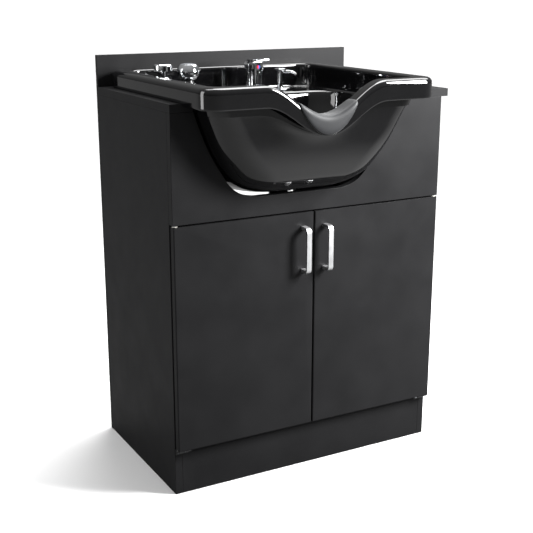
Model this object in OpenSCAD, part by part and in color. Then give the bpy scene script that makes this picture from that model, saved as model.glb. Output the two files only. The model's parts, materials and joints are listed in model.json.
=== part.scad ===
/* [Cabinet] */
// Width over the two side panels
cabinet_w = 700; // [640:5:900]
// Depth over the side panels and the back panel
cabinet_d = 420; // [400:5:540]
// Height of the countertop's upper face
counter_h = 890; // [800:5:1100]
// Thickness of the laminated boards
board_t = 18; // [15:1:22]
// Thickness of the back panel
back_t = 12; // [9:1:18]
// Height of the splash above the countertop
splash_h = 75; // [40:5:150]
// How far the countertop stands out past the right side panel
overhang = 18; // [0:1:40]
// Height of the toe kick board
toe_h = 100; // [70:5:140]

/* [Doors] */
// Height of the gap between the doors and the fascia, from the floor
door_top = 631; // [560:1:660]
// Gap round each door
door_gap = 3; // [2:0.5:5]
// Gap between a shut door and the carcass
door_back_gap = 2; // [1.5:0.5:4]
// Rounding of the long edges of the doors
edge_r = 3; // [1:0.5:4]
// Pivot axis, measured in from the side panel's outer face
pivot_in = 8; // [7:0.5:12]
// Diameter of the pivot pins
pivot_pin_d = 5; // [4:0.5:6]
// Hole spacing of the handles
handle_span = 100; // [64:4:160]
// Width of the handle strap
handle_w = 12; // [8:1:16]
// Thickness of the handle strap
handle_t = 8; // [5:0.5:9]
// How far the handles stand out from the doors
handle_reach = 28; // [22:1:40]
// Distance from the middle of the cabinet to each handle
handle_in = 29; // [20:1:60]

/* [Bowl] */
// Width of the bowl over its rim
bowl_w = 570; // [520:5:640]
// Length of the bowl over its rim, front to back
bowl_l = 545; // [500:5:640]
// Depth of the bowl below the countertop
bowl_depth = 209; // [180:1:260]
// Height of the rim above the countertop
rim_h = 40; // [30:1:60]
// Distance of the bowl's middle from the cabinet's middle, to the left
bowl_shift = 40; // [0:1:45]
// Depth of the neck dip in the front rim
neck_dip = 72; // [50:1:80]
// Width of the neck dip
neck_w = 300; // [260:5:320]
// Width of the neck rest pad
rest_w = 150; // [120:5:180]
// Thickness of the neck rest pad
rest_t = 6; // [4:0.5:8]
// How far the front apron hangs below the countertop's upper face
apron_drop = 5; // [0:0.5:10]
// Gap between the bowl and the cut-outs round it
cut_gap = 3; // [2:0.5:6]
// Diameter of the drain hole
drain_d = 46; // [40:1:52]

/* [Fittings] */
// Diameter of the mixer's column
mixer_d = 42; // [36:1:48]
// Height of the mixer's column above the deck
mixer_h = 43; // [36:1:60]
// Diameter of the vacuum breaker's cap
breaker_d = 44; // [36:1:50]
// Diameter of the spray head
spray_d = 56; // [46:1:62]
// Travel of the soap pump
pump_travel = 10; // [6:1:14]
// Diameter of the soap bottle
bottle_d = 60; // [50:1:66]

/* [Hidden] */
$fn = 48;

// Colours
board_black = "#2a2a2c";
bowl_black = "#141415";
pad_grey = "#6c6d70";
chrome = "#c9ccd0";
zinc = "#8f9296";
nylon = "#e4e2dc";

// Small clearances: a running fit, a seat, and the least gap between bodies that move past
run_fit = 0.05;
seat_gap = 0.3;

// Places in the cabinet: X from the left side panel, Y back from the carcass front, Z from the floor
carcass_d = cabinet_d - back_t;
counter_under = counter_h - board_t;
inner_w = cabinet_w - 2 * board_t;
door_bottom = toe_h + 14;
door_h = door_top - door_bottom;
door_w = cabinet_w / 2 - door_gap;
door_front = -door_back_gap - board_t;
pivot_y = -door_back_gap - board_t / 2;
fascia_bottom = door_top + door_gap;

// Bowl frame: X from the bowl's middle, Y back from its front edge, Z up from its underside
bowl_x = cabinet_w / 2 - bowl_shift;
bowl_y = carcass_d - 3 - bowl_l;
bowl_z = counter_h - bowl_depth;
half_w = bowl_w / 2;
rim_top = bowl_depth + rim_h;
deck_z = bowl_depth - board_t;
deck_t = 5;
deck_under = deck_z - deck_t;
strip_w = 36;
hub_t = 7;
hub_side = half_w - 70;
hub_front = 180;
hub_back = bowl_l - 255;
drain_y = (hub_front + bowl_l - hub_back) / 2;
deck_front = 150;
fit_y = bowl_l - 105;
boss_x = half_w - 18;
boss_d = 12;
bowl_screw_d = 4;
boss_y = [240, 470];

// Fittings on the deck, from the bowl's middle
breaker_x = -186;
spray_x = -121;
mixer_x = 56;
soap_x = 125;
breaker_hole = 22;
spray_hole = 34;
mixer_hole = 34;
soap_hole = 24;

// Overall box, which puts the origin at the middle of its underside
total_w = cabinet_w + overhang;
front_reach = -bowl_y + seat_gap + rest_t;
total_d = cabinet_d + front_reach;

module in_frame() { translate([-total_w / 2, front_reach - total_d / 2, 0]) children(); }
module in_bowl() { in_frame() translate([bowl_x, bowl_y, bowl_z]) children(); }
module on_deck(x, z = deck_z) { in_bowl() translate([x, fit_y, z]) children(); }
module mirrored() { in_frame() translate([cabinet_w, 0, 0]) mirror([1, 0, 0]) children(); }

// Outer body of the bowl from its underside up: height, then how far each ring lies inside the
// rim at the sides, front and back, its corner radius, and its share of the neck dip
outer_rows = [
    [0, hub_side, hub_front, hub_back, 36, 0],
    [1, hub_side - 40, 145, hub_back - 45, 62, 0],
    [5, hub_side - 61, 120, hub_back - 68, 80, 0],
    [14, hub_side - 82, 97, hub_back - 84, 88, 0],
    [31, hub_side - 102, 72, hub_back - 98, 90, 0],
    [54, 97, 55, 181, 88, 0],
    [bowl_depth * 0.51, 66, 43, 167, 76, 0],
    [bowl_depth * 0.76, 44, 37, 157, 66, 0.35],
    [deck_under - 5, 36, 34, 152, 60, 0.6],
    [deck_under, 34.3, 33.2, deck_front - 3, 58, 0.61],
    [deck_under, 34, 33, 30, 45, 0.62],
    [bowl_depth - 4, 31, 32, 27, 42, 0.8],
    [rim_top - 6.5, 31.5, 32.5, 28, 42, 1],
    [rim_top - 6, 5, 5, 5, 35, 1]];
// Skirt and rolled edge of the rim; the skirt's lower edge follows the counter and the apron
skirt_rows = [
    [bowl_depth, 4, 4, 4, 36, 0.92],
    [bowl_depth, 0, 0, 0, 40, 0.92]];
rim_rows = [
    [rim_top - 6, 0, 0, 0, 40, 1],
    [rim_top - 1.5, 1.5, 1.5, 1.5, 38.5, 1],
    [rim_top, 5, 5, 5, 35, 1],
    [rim_top, strip_w - 3, strip_w - 2, strip_w - 4, 34, 1],
    [rim_top - 2, strip_w, strip_w, strip_w - 1, 34, 1],
    [rim_top - 6, strip_w + 1, strip_w + 1, strip_w, 34, 1]];
// Inside of the bowl from the rim down to the drain
inner_rows = [
    [bowl_depth, 38, 38, 36, 36, 0.61],
    [deck_z + 4, 39, 39, 37, 38, 0.49],
    [deck_z, 43, 40, 41, 40, 0.47],
    [deck_z - 0.5, 43.5, 40.5, deck_front, 58, 0.46],
    [deck_z - 4, 44, 41, deck_front + 6, 60, 0.45],
    [bowl_depth * 0.76, 51, 43, 163, 64, 0.18],
    [bowl_depth * 0.52, 72, 49, 173, 72, 0],
    [58, 102, 61, 187, 84, 0],
    [37, hub_side - 97, 78, hub_back - 92, 86, 0],
    [20, hub_side - 75, 104, hub_back - 77, 82, 0],
    [11, hub_side - 51, 130, hub_back - 60, 72, 0],
    [hub_t + 1, hub_side - 30, 152, hub_back - 38, 56, 0],
    [hub_t, hub_side, hub_front, hub_back, 36, 0]];

// Stations across the neck dip, and its shape: a raised cosine, from 1 at the middle to 0
rest_half = rest_w / 2;
neck_half = neck_w / 2;
neck_x = concat([-neck_half, -neck_half + 19, -rest_half - 28],
    [for (i = [-4 : 4]) i * rest_half / 4],
    [rest_half + 28, neck_half - 19, neck_half]);
function dip(x) = abs(x) >= neck_half ? 0 : neck_dip * (1 + cos(180 * x / neck_half)) / 2;
// Places along each side: two of them lie just in front of the counter's front edge
corner_r = 40;
side_run = bowl_l - 2 * corner_r;
notch = (-board_t - 1.5 - bowl_y - corner_r) / side_run;
side_t = [notch - 5 / side_run, notch, 0.45, 0.75];
back_run = [0.2, 0.4, 0.6, 0.8];
arc_n = 6;

function corner_arc(cx, cy, r, from) =
    [for (i = [0 : arc_n]) let (a = from + 90 * i / arc_n) [cx + r * cos(a), cy + r * sin(a)]];
// Plan of one ring, anticlockwise from the left end of the front edge
function ring_plan(side, front, back, r) =
    let (w = half_w - side, y0 = front, y1 = bowl_l - back, k = min(1, (w - r - 2) / neck_half))
    concat(
        [for (x = neck_x) [x * k, y0]],
        corner_arc(w - r, y0 + r, r, -90),
        [for (t = side_t) [w, y0 + r + t * (y1 - y0 - 2 * r)]],
        corner_arc(w - r, y1 - r, r, 0),
        [for (t = back_run) [(w - r) * (1 - 2 * t), y1]],
        corner_arc(-w + r, y1 - r, r, 90),
        [for (i = [len(side_t) - 1 : -1 : 0]) [-w, y0 + r + side_t[i] * (y1 - y0 - 2 * r)]],
        corner_arc(-w + r, y0 + r, r, 180));
neck_n = len(neck_x);
ring_n = neck_n + 4 * (arc_n + 1) + 2 * len(side_t) + len(back_run);
// The apron hangs lower on the points that lie in front of the counter
first_low = neck_n + arc_n + 2;
function is_low(i) = i < first_low || i >= ring_n - first_low + neck_n;
function ring(row, skirt = false) =
    let (plan = ring_plan(row[1], row[2], row[3], row[4]))
    [for (i = [0 : ring_n - 1]) [plan[i][0], plan[i][1],
        row[0] - (i < neck_n ? row[5] * dip(neck_x[i]) : 0) - (skirt && is_low(i) ? apron_drop : 0)]];

bowl_rings = concat([for (r = outer_rows) ring(r)], [for (r = skirt_rows) ring(r, true)],
    [for (r = rim_rows) ring(r)], [for (r = inner_rows) ring(r)]);

// Side faces through a list of rings of equal length
function side_faces(n, m) = [for (k = [0 : m - 2], i = [0 : n - 1]) let (j = (i + 1) % n)
    each [[k * n + i, (k + 1) * n + i, k * n + j], [k * n + j, (k + 1) * n + i, (k + 1) * n + j]]];

// Closed solid through rings; each end is a fan round its middle
function middle(ring) = [for (k = [0 : 2]) (min([for (p = ring) p[k]]) + max([for (p = ring) p[k]])) / 2];
module lofted(rings) {
    n = len(rings[0]);
    m = len(rings);
    polyhedron(
        points = concat([for (r = rings) each r], [middle(rings[0]), middle(rings[m - 1])]),
        faces = concat(
            [for (i = [0 : n - 1]) [i, (i + 1) % n, n * m]],
            side_faces(n, m),
            [for (i = [0 : n - 1]) [(m - 1) * n + (i + 1) % n, (m - 1) * n + i, n * m + 1]]));
}

// Closed solid through rings that run along a strip and back; each end is a row of four-sided faces
module lofted_strip(rings) {
    n = len(rings[0]);
    m = len(rings);
    end = n * (m - 1);
    polyhedron(
        points = [for (r = rings) each r],
        faces = concat(
            [for (i = [0 : n / 2 - 2]) each [[i, i + 1, n - 2 - i], [i, n - 2 - i, n - 1 - i]]],
            side_faces(n, m),
            [for (i = [0 : n / 2 - 2]) let (a = end + i, b = end + n - 2 - i)
                each [[a + 1, a, b], [b, a, b + 1]]]));
}

module tube(od, id, h) {
    difference() {
        cylinder(d = od, h = h);
        translate([0, 0, -1]) cylinder(d = id, h = h + 2);
    }
}

module hex_nut(across, id, h) {
    difference() {
        cylinder(d = across / cos(30), h = h, $fn = 6);
        translate([0, 0, -1]) cylinder(d = id, h = h + 2);
    }
}

// Screw along +Z from its point to the underside of its round head
module screw(d, length, head_d, head_h) {
    cylinder(d = d, h = length);
    translate([0, 0, length]) cylinder(d1 = head_d, d2 = head_d * 0.7, h = head_h);
}

// ---- Cabinet ----

module left_side_panel() {
    in_frame() color(board_black) cube([board_t, carcass_d, counter_under]);
}

module right_side_panel() {
    in_frame() color(board_black)
        translate([cabinet_w - board_t, 0, 0]) cube([board_t, carcass_d, counter_under]);
}

module floor_panel() {
    in_frame() color(board_black)
        translate([board_t, 0, toe_h]) cube([inner_w, carcass_d, board_t]);
}

module toe_kick_board() {
    in_frame() color(board_black) translate([board_t, 0, 0]) cube([inner_w, board_t, toe_h]);
}

// Half width of the bowl's body at each height, from its underside to the counter
cut_side = [for (i = [1 : len(outer_rows) - 3]) [half_w - outer_rows[i][1], outer_rows[i][0]]];
cut_half = half_w - outer_rows[11][1] + cut_gap;
cut_back = bowl_l - outer_rows[11][3] + cut_gap;

module countertop() {
    in_frame() color(board_black) difference() {
        translate([0, -board_t, counter_under]) cube([total_w, carcass_d + board_t, board_t]);
        translate([bowl_x - cut_half, -board_t - 1, counter_under - 1])
            cube([2 * cut_half, bowl_y + cut_back + board_t + 1, board_t + 2]);
        for (s = [-1, 1], y = boss_y)
            translate([bowl_x + s * boss_x, bowl_y + y, counter_under - 1])
                cylinder(d = bowl_screw_d + 1, h = board_t + 2);
    }
}

// Full-height back with the splash at its top, a service opening and four wall fixing holes
service_w = 400;
service_low = 190;
service_high = 620;
wall_hole_d = 8;
wall_hole_z = [bowl_z + 79, 150];
wall_hole_x = cabinet_w / 2 - 80;
module back_panel() {
    in_frame() color(board_black) difference() {
        translate([0, carcass_d, 0]) cube([cabinet_w, back_t, counter_h + splash_h]);
        translate([(cabinet_w - service_w) / 2, carcass_d - 1, service_low])
            cube([service_w, back_t + 2, service_high - service_low]);
        for (s = [-1, 1], z = wall_hole_z)
            translate([cabinet_w / 2 + s * wall_hole_x, carcass_d - 1, z])
                rotate([-90, 0, 0]) cylinder(d = wall_hole_d, h = back_t + 2);
    }
}

pin_in_fascia = 12;
module front_fascia() {
    in_frame() color(board_black) difference() {
        translate([0, -board_t, fascia_bottom])
            cube([cabinet_w, board_t, counter_under - fascia_bottom]);
        translate([bowl_x, 1, bowl_z]) rotate([90, 0, 0]) linear_extrude(board_t + 2)
            offset(delta = cut_gap) polygon(concat(
                [for (p = cut_side) p], [[cut_side[len(cut_side) - 1][0], bowl_depth + 20],
                [-cut_side[len(cut_side) - 1][0], bowl_depth + 20]],
                [for (i = [len(cut_side) - 1 : -1 : 0]) [-cut_side[i][0], cut_side[i][1]]]));
        for (x = [pivot_in, cabinet_w - pivot_in])
            translate([x, pivot_y, fascia_bottom - 1]) cylinder(d = pivot_pin_d + 0.1, h = pin_in_fascia + 1);
    }
}

rail_h = 80;
rail_z = bowl_z - 6 - rail_h;
module front_rail() {
    in_frame() color(board_black) translate([board_t, 0, rail_z]) cube([inner_w, board_t, rail_h]);
}

rear_rail_h = 60;
module rear_rail() {
    in_frame() color(board_black)
        translate([board_t, carcass_d - board_t, bowl_z - rear_rail_h]) cube([inner_w, board_t, rear_rail_h]);
}

// Steel angles in the four upper corners: one leg under the counter, one on the side panel
brace_l = 30;
brace_t = 2;
brace_y = [30, 200, 360];
module brace() {
    difference() {
        union() {
            translate([0, 0, -brace_t]) cube([brace_l, 18, brace_t]);
            translate([0, 0, -brace_l]) cube([brace_t, 18, brace_l]);
        }
        translate([18, 9, -brace_t - 1]) cylinder(d = 4.5, h = brace_t + 2);
        translate([-1, 9, -20]) rotate([0, 90, 0]) cylinder(d = 4.5, h = brace_t + 2);
    }
}
module brace_screw_pair() {
    translate([18, 9, 10 - brace_t]) rotate([180, 0, 0]) screw(3.5, 10, 7, 2);
    translate([brace_t - 8, 9, -20]) rotate([0, 90, 0]) screw(3.5, 8, 7, 2);
}
// On both sides, in front of, between and behind the bowl's screws
module at_braces() {
    for (y = brace_y) {
        in_frame() translate([board_t, y - 9, counter_under]) children();
        mirrored() translate([board_t, y - 9, counter_under]) children();
    }
}
module corner_braces() { color(zinc) at_braces() brace(); }
module brace_screws() { color(zinc) at_braces() brace_screw_pair(); }

// ---- Door furniture on the carcass ----

catch_w = 34;
catch_h = 14;
catch_x = 34;
module at_catches() {
    for (s = [-1, 1])
        in_frame() translate([cabinet_w / 2 + s * catch_x, 0, rail_z]) children();
}
module catch_housings() {
    color(nylon) at_catches() difference() {
        translate([-catch_w / 2, 0.5, -catch_h]) cube([catch_w, 16, catch_h]);
        translate([-10, 0, -catch_h + 3]) cube([20, 10, catch_h - 6]);
    }
}
module catch_magnets() {
    color(zinc) at_catches()
        translate([-9.7, 0.2, -catch_h + 3.3]) cube([19.4, 9.5, catch_h - 6.6]);
}

leaf_t = 2.5;
flange_t = 1;
leaf_top = door_bottom - flange_t - seat_gap;
leaf_w = 31;
pin_in_door = 11;
module pivot_bracket() {
    difference() {
        union() {
            translate([1.5, door_front + 1, leaf_top - leaf_t]) cube([leaf_w, -door_front - 1, leaf_t]);
            translate([1.5, -2, toe_h - 1]) cube([leaf_w, 2, leaf_top - toe_h + 1]);
            translate([pivot_in, pivot_y, leaf_top - 1]) cylinder(d = pivot_pin_d, h = pin_in_door + 1);
        }
        for (x = [board_t / 2, board_t + 8])
            translate([x, 1, toe_h + 4]) rotate([90, 0, 0]) cylinder(d = 3.6, h = 4);
    }
}
module bottom_pivot_brackets() {
    color(board_black) { in_frame() pivot_bracket(); mirrored() pivot_bracket(); }
}
module bracket_screw_pair() {
    for (x = [board_t / 2, board_t + 8])
        translate([x, 10, toe_h + 4]) rotate([90, 0, 0]) screw(3.2, 12, 6, 1.5);
}
module bracket_screws() {
    color(zinc) { in_frame() bracket_screw_pair(); mirrored() bracket_screw_pair(); }
}
module top_pin() {
    translate([pivot_in, pivot_y, door_top - pin_in_door])
        cylinder(d = pivot_pin_d, h = pin_in_door + door_gap + pin_in_fascia - 1);
}
module top_pivot_pins() { color(zinc) { in_frame() top_pin(); mirrored() top_pin(); } }

// ---- Bowl ----

module bowl() {
    color(bowl_black) in_bowl() difference() {
        union() {
            lofted(bowl_rings);
            for (s = [-1, 1], y = boss_y)
                translate([s * boss_x, y, bowl_depth]) cylinder(d = boss_d, h = rim_h - 5);
        }
        for (s = [-1, 1], y = boss_y)
            translate([s * boss_x, y, bowl_depth - 1]) cylinder(d = bowl_screw_d + 0.1, h = rim_h - 12);
        translate([0, drain_y, -1]) cylinder(d = drain_d, h = hub_t + 2);
        for (p = [[breaker_x, breaker_hole], [spray_x, spray_hole], [mixer_x, mixer_hole]])
            translate([p[0], fit_y, deck_under - 1]) cylinder(d = p[1], h = deck_t + 2);
        translate([soap_x, fit_y - soap_forward, deck_under - 1]) cylinder(d = soap_hole, h = deck_t + 2);
    }
}

// Saddle pad over the rim at the neck dip, thinner towards its ends
function rest_ring(x) =
    let (t = rest_t * (1 - 0.7 * pow(x / rest_half, 2)), s = seat_gap, top = rim_top - dip(x),
        low = bowl_depth - apron_drop - 0.92 * dip(x) + 2, lip = strip_w)
    [for (p = [
        [-s, low], [-s, top - 6], [1.5 - s, top - 1.5 + s], [5, top + s], [lip - 2, top + s],
        [lip + s, top - 2 + s], [lip + 1 + s, top - 6],
        [lip + 1 + s + 0.6 * t, top - 6], [lip + s + 0.7 * t, top - 1], [lip - 2, top + s + t],
        [5, top + s + t], [1 - s - 0.7 * t, top + 0.5 * t], [-s - t, top - 6], [-s - t, low]])
        [x, p[0], p[1]]];
module neck_rest() {
    color(pad_grey) in_bowl() lofted_strip([for (i = [-4 : 4]) rest_ring(i * rest_half / 4)]);
}

module bowl_screws() {
    color(zinc) in_bowl() for (s = [-1, 1], y = boss_y)
        translate([s * boss_x, y, bowl_depth + rim_h - 15]) rotate([180, 0, 0])
            screw(bowl_screw_d, rim_h - 15 + board_t, 9, 2.5);
}

// ---- Drain ----

flange_h = 3;
seat_depth = 1.6;
drain_tube = drain_d - 1;
drain_bore = drain_d - 8;
drain_reach = 40;
gasket_t = 3;
tail_od = 38;
tail_l = 160;
module at_drain(z = 0) { in_bowl() translate([0, drain_y, z]) children(); }
module drain_flange() {
    color(chrome) at_drain() difference() {
        union() {
            translate([0, 0, hub_t]) cylinder(d = drain_d + 20, h = flange_h);
            translate([0, 0, -drain_reach]) cylinder(d = drain_tube, h = drain_reach + hub_t + 1);
        }
        translate([0, 0, -drain_reach - 1]) cylinder(d = drain_bore, h = 100);
        translate([0, 0, hub_t + flange_h - seat_depth]) cylinder(d = drain_d + 4, h = 10);
    }
}
module drain_gasket() {
    color("#202020") at_drain(-gasket_t) tube(drain_d + 18, drain_tube + 0.6, gasket_t);
}
module drain_locknut() {
    color(zinc) at_drain(-gasket_t - 9) hex_nut(drain_d + 12, drain_tube + 0.6, 9);
}
module tailpiece() {
    color(chrome) at_drain(-drain_reach - tail_l) difference() {
        union() {
            cylinder(d = tail_od, h = tail_l);
            translate([0, 0, tail_l - 2.5]) cylinder(d = drain_tube - 1, h = 2.5);
        }
        translate([0, 0, -1]) cylinder(d = tail_od - 4, h = tail_l + 2);
    }
}
module slip_nut() {
    color(chrome) at_drain(-drain_reach - 6) difference() {
        cylinder(d = (drain_d + 10) / cos(30), h = 18, $fn = 6);
        translate([0, 0, -1]) cylinder(d = tail_od + 0.6, h = 20);
        translate([0, 0, 3.2]) cylinder(d = drain_tube + 0.6, h = 20);
    }
}
basket_d = drain_bore - 2;
basket_deep = 18;
module strainer_basket() {
    color(chrome) at_drain(hub_t + flange_h - seat_depth + 0.2) difference() {
        union() {
            difference() {
                union() {
                    cylinder(d = drain_d + 4 - 0.6, h = 1.2);
                    translate([0, 0, -basket_deep]) cylinder(d = basket_d, h = basket_deep + 0.5);
                }
                translate([0, 0, -basket_deep + 1.5]) cylinder(d = basket_d - 3, h = basket_deep + 3);
            }
            translate([0, 0, -basket_deep + 1]) cylinder(d = 4, h = basket_deep + 2);
            translate([0, 0, 2]) cylinder(d = 10, h = 3);
        }
        for (a = [0 : 45 : 315])
            rotate([0, 0, a]) translate([10, 0, -basket_deep - 1]) cylinder(d = 3.5, h = 4);
        for (a = [0 : 45 : 315])
            rotate([0, 0, a]) translate([basket_d / 2 - 3, -1.2, -basket_deep + 5]) cube([6, 2.4, 9]);
    }
}

// ---- Mixer ----

module mixer_gasket() {
    color("#202020") on_deck(mixer_x) tube(mixer_d + 10, mixer_hole - 1.4, 2);
}
mixer_top = mixer_h + 5;
shank_l = 38;
spigot_d = 24;
tail_x = 7.5;
tail_d = 10;
tails_l = 175;
module mixer_body() {
    color(chrome) on_deck(mixer_x) difference() {
        union() {
            translate([0, 0, 2]) cylinder(d = mixer_d + 10, h = 4);
            translate([0, 0, 6]) cylinder(d1 = mixer_d + 8, d2 = mixer_d, h = 4);
            translate([0, 0, 5]) cylinder(d = mixer_d, h = mixer_h - 5);
            translate([0, 0, mixer_h]) cylinder(d = mixer_d + 4, h = 5);
            translate([0, 0, mixer_top - 1]) cylinder(d = spigot_d, h = 9);
            translate([0, 0, -shank_l]) cylinder(d = mixer_hole - 2, h = shank_l + 3);
        }
        for (s = [-1, 1])
            translate([s * tail_x, 0, -shank_l - 1]) cylinder(d = tail_d + 0.6, h = shank_l - 14);
    }
}
module mixer_locknut() {
    color(zinc) on_deck(mixer_x, deck_under - 8) hex_nut(mixer_hole + 12, mixer_hole - 1.4, 8);
}
module mixer_tails() {
    color(chrome) on_deck(mixer_x) for (s = [-1, 1]) translate([s * tail_x, 0, -15 - tails_l])
        difference() {
            union() {
                cylinder(d = tail_d, h = tails_l);
                translate([0, 0, 14]) cylinder(d = 14, h = 12, $fn = 6);
            }
            translate([0, 0, -1]) cylinder(d = tail_d - 3, h = tails_l + 2);
        }
}
turret_d = mixer_d + 6;
turret_low = mixer_top + 0.5;
turret_h = 25;
turret_top = turret_low + turret_h;
lever_px = -10;
lever_pz = turret_top - 4;
lever_pin_d = 3;
tongue_w = 12;
marker_d = 9;
module mixer_turret() {
    color(chrome) on_deck(mixer_x) difference() {
        union() {
            translate([0, 0, turret_low]) cylinder(d = turret_d, h = turret_h - 2);
            translate([0, 0, turret_top - 2]) cylinder(d1 = turret_d, d2 = turret_d - 4, h = 2);
        }
        translate([0, 0, turret_low - 1]) cylinder(d = spigot_d + 2 * run_fit, h = 9.2);
        translate([lever_px, -turret_d, turret_top]) rotate([0, -28, 0])
            translate([-turret_d, 0, 0]) cube([turret_d, 2 * turret_d, turret_d]);
        translate([lever_px - 8, -tongue_w / 2 - 0.3, lever_pz - 5]) cube([13, tongue_w + 0.6, 20]);
        translate([lever_px, turret_d / 2 + 1, lever_pz]) rotate([90, 0, 0])
            cylinder(d = lever_pin_d, h = turret_d + 2);
        translate([0, -turret_d / 2 + 1.5, turret_low + turret_h / 2]) rotate([90, 0, 0])
            cylinder(d = marker_d + 0.4, h = 5);
    }
}
module mixer_marker() {
    color("#b03040") on_deck(mixer_x) translate([0, -turret_d / 2 + 1.5, turret_low + turret_h / 2])
        rotate([90, 0, 0]) cylinder(d = marker_d, h = 1.8);
}
lever_l = 44;
module mixer_lever() {
    color(chrome) on_deck(mixer_x) difference() {
        union() {
            translate([0, 0, turret_top + 0.5]) linear_extrude(4) union() {
                circle(d = 26);
                translate([lever_px - 4, -11]) square([8, 22]);
                polygon([[0, -13], [lever_l - 6, -7], [lever_l - 6, 7], [0, 13]]);
                translate([lever_l - 6, 0]) circle(d = 14);
            }
            translate([lever_px - 4, -tongue_w / 2, lever_pz]) cube([8, tongue_w, 6]);
            translate([lever_px, tongue_w / 2, lever_pz]) rotate([90, 0, 0]) cylinder(d = 8, h = tongue_w);
        }
        translate([lever_px, tongue_w, lever_pz]) rotate([90, 0, 0])
            cylinder(d = lever_pin_d + 2 * run_fit, h = 2 * tongue_w);
    }
}
module mixer_lever_pin() {
    color(zinc) on_deck(mixer_x) translate([lever_px, 18, lever_pz]) rotate([90, 0, 0])
        cylinder(d = lever_pin_d, h = 36);
}

// ---- Vacuum breaker ----

breaker_neck = 22;
breaker_cap_z = 58;
module breaker_body() {
    color(chrome) on_deck(breaker_x) difference() {
        union() {
            translate([0, 0, -40]) cylinder(d = breaker_hole - 1.1, h = 41);
            cylinder(d = 40, h = 4);
            translate([0, 0, 3]) cylinder(d = 30, h = 30);
            translate([0, 0, 32]) cylinder(d1 = 36, d2 = breaker_neck + 2, h = 12);
            translate([0, 0, 43]) cylinder(d = breaker_neck, h = breaker_cap_z - 43 + 8);
        }
        translate([0, 0, -41]) cylinder(d = 14, h = 98);
    }
}
module breaker_cap() {
    color(chrome) on_deck(breaker_x, deck_z + breaker_cap_z) difference() {
        union() {
            cylinder(d = breaker_d, h = 14);
            translate([0, 0, 14]) cylinder(d1 = breaker_d, d2 = breaker_d - 6, h = 3);
        }
        translate([0, 0, -1]) cylinder(d = breaker_neck + 0.6, h = 9.3);
    }
}
module breaker_nut() {
    color(zinc) on_deck(breaker_x, deck_under - 8) hex_nut(breaker_hole + 12, breaker_hole - 0.5, 8);
}

// ---- Hand spray in its guide ----

guide_id = 25;
guide_top = 20;
handle_low = -70;
module hose_guide() {
    color(chrome) on_deck(spray_x) difference() {
        union() {
            translate([0, 0, -30]) cylinder(d = spray_hole - 2, h = 31);
            cylinder(d = 46, h = 4);
            translate([0, 0, 3]) cylinder(d1 = 40, d2 = 34, h = guide_top - 3);
        }
        translate([0, 0, -31]) cylinder(d = guide_id, h = 60);
    }
}
module hose_guide_nut() {
    color(zinc) on_deck(spray_x, deck_under - 7) hex_nut(spray_hole + 10, spray_hole - 1.4, 7);
}
bell_low = guide_top + 14;
module spray_handle() {
    color("#1c1c1e") on_deck(spray_x) difference() {
        rotate_extrude() polygon([[0, handle_low], [8, handle_low], [11, 0], [11.6, guide_top + seat_gap],
            [15, guide_top + seat_gap], [15, guide_top + 4], [12, bell_low], [0, bell_low]]);
        translate([0, 0, handle_low - 1]) cylinder(d = 8, h = bell_low - handle_low + 2);
    }
}
bell_r = spray_d / 2;
bell_h = 38;
face_z = bell_low + bell_h - 3;
module spray_bell() {
    color(chrome) on_deck(spray_x) difference() {
        rotate_extrude() polygon([[0, bell_low], [11, bell_low], [bell_r - 6, bell_low + 8],
            [bell_r - 1.5, bell_low + 15], [bell_r, bell_low + 21], [bell_r - 1.2, bell_low + 27],
            [bell_r - 4, bell_low + 33], [bell_r - 8, bell_low + bell_h], [0, bell_low + bell_h]]);
        translate([0, 0, bell_low - 1]) cylinder(d = 8, h = 10);
        translate([0, 0, bell_low + 8]) cylinder(d = spray_d - 22, h = bell_h);
        translate([0, 0, face_z]) cylinder(d = spray_d - 18, h = 10);
    }
}
module spray_face() {
    color(chrome) on_deck(spray_x) difference() {
        union() {
            translate([0, 0, face_z]) cylinder(d = spray_d - 18.6, h = 3);
            translate([0, 0, face_z + 3]) cylinder(d1 = spray_d - 19, d2 = spray_d - 34, h = 2);
        }
        for (ring = [[0, 1], [6, 6], [12, 12]], i = [0 : ring[1] - 1])
            rotate([0, 0, 360 * i / ring[1]]) translate([ring[0], 0, face_z - 1]) cylinder(d = 1.8, h = 8);
    }
}
module spray_hose_nut() {
    color(chrome) on_deck(spray_x) translate([0, 0, handle_low - 18]) tube(19, 9, 18);
}

// ---- Soap pump ----

soap_forward = 10;
neck_od = 14.6;
stem_d = 10;
skirt_d = 17.5;
pump_top = 50;
skirt_low = 10 + pump_travel;
spring_low = -36;
spring_high = -8;
module at_soap(z = 0) { on_deck(soap_x) translate([0, -soap_forward, z]) children(); }
module soap_collar() {
    color(chrome) at_soap() difference() {
        union() {
            translate([0, 0, -40]) cylinder(d = soap_hole - 2, h = 41);
            cylinder(d = 38, h = 3);
            translate([0, 0, 3]) cylinder(d1 = 36, d2 = 20, h = 4);
            translate([0, 0, 5]) cylinder(d = neck_od, h = pump_top - pump_travel - 7);
        }
        translate([0, 0, -41]) cylinder(d = stem_d + 2 * run_fit, h = 100);
        translate([0, 0, spring_low]) cylinder(d = 17, h = spring_high + 2.5 - spring_low);
    }
}
module soap_nut() {
    color(zinc) at_soap(-deck_t - 7) hex_nut(soap_hole + 10, soap_hole - 1.4, 7);
}
module soap_bottle() {
    color("#d8d8d4") at_soap() difference() {
        rotate_extrude() polygon([[0, -170], [bottle_d / 2 - 3, -170], [bottle_d / 2, -166],
            [bottle_d / 2, -62], [14, -46], [14, -16], [0, -16]]);
        rotate_extrude() polygon([[0, -168], [bottle_d / 2 - 4, -168], [bottle_d / 2 - 2, -165],
            [bottle_d / 2 - 2, -63], [11.3, -47], [11.3, -10], [0, -10]]);
    }
}
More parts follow.
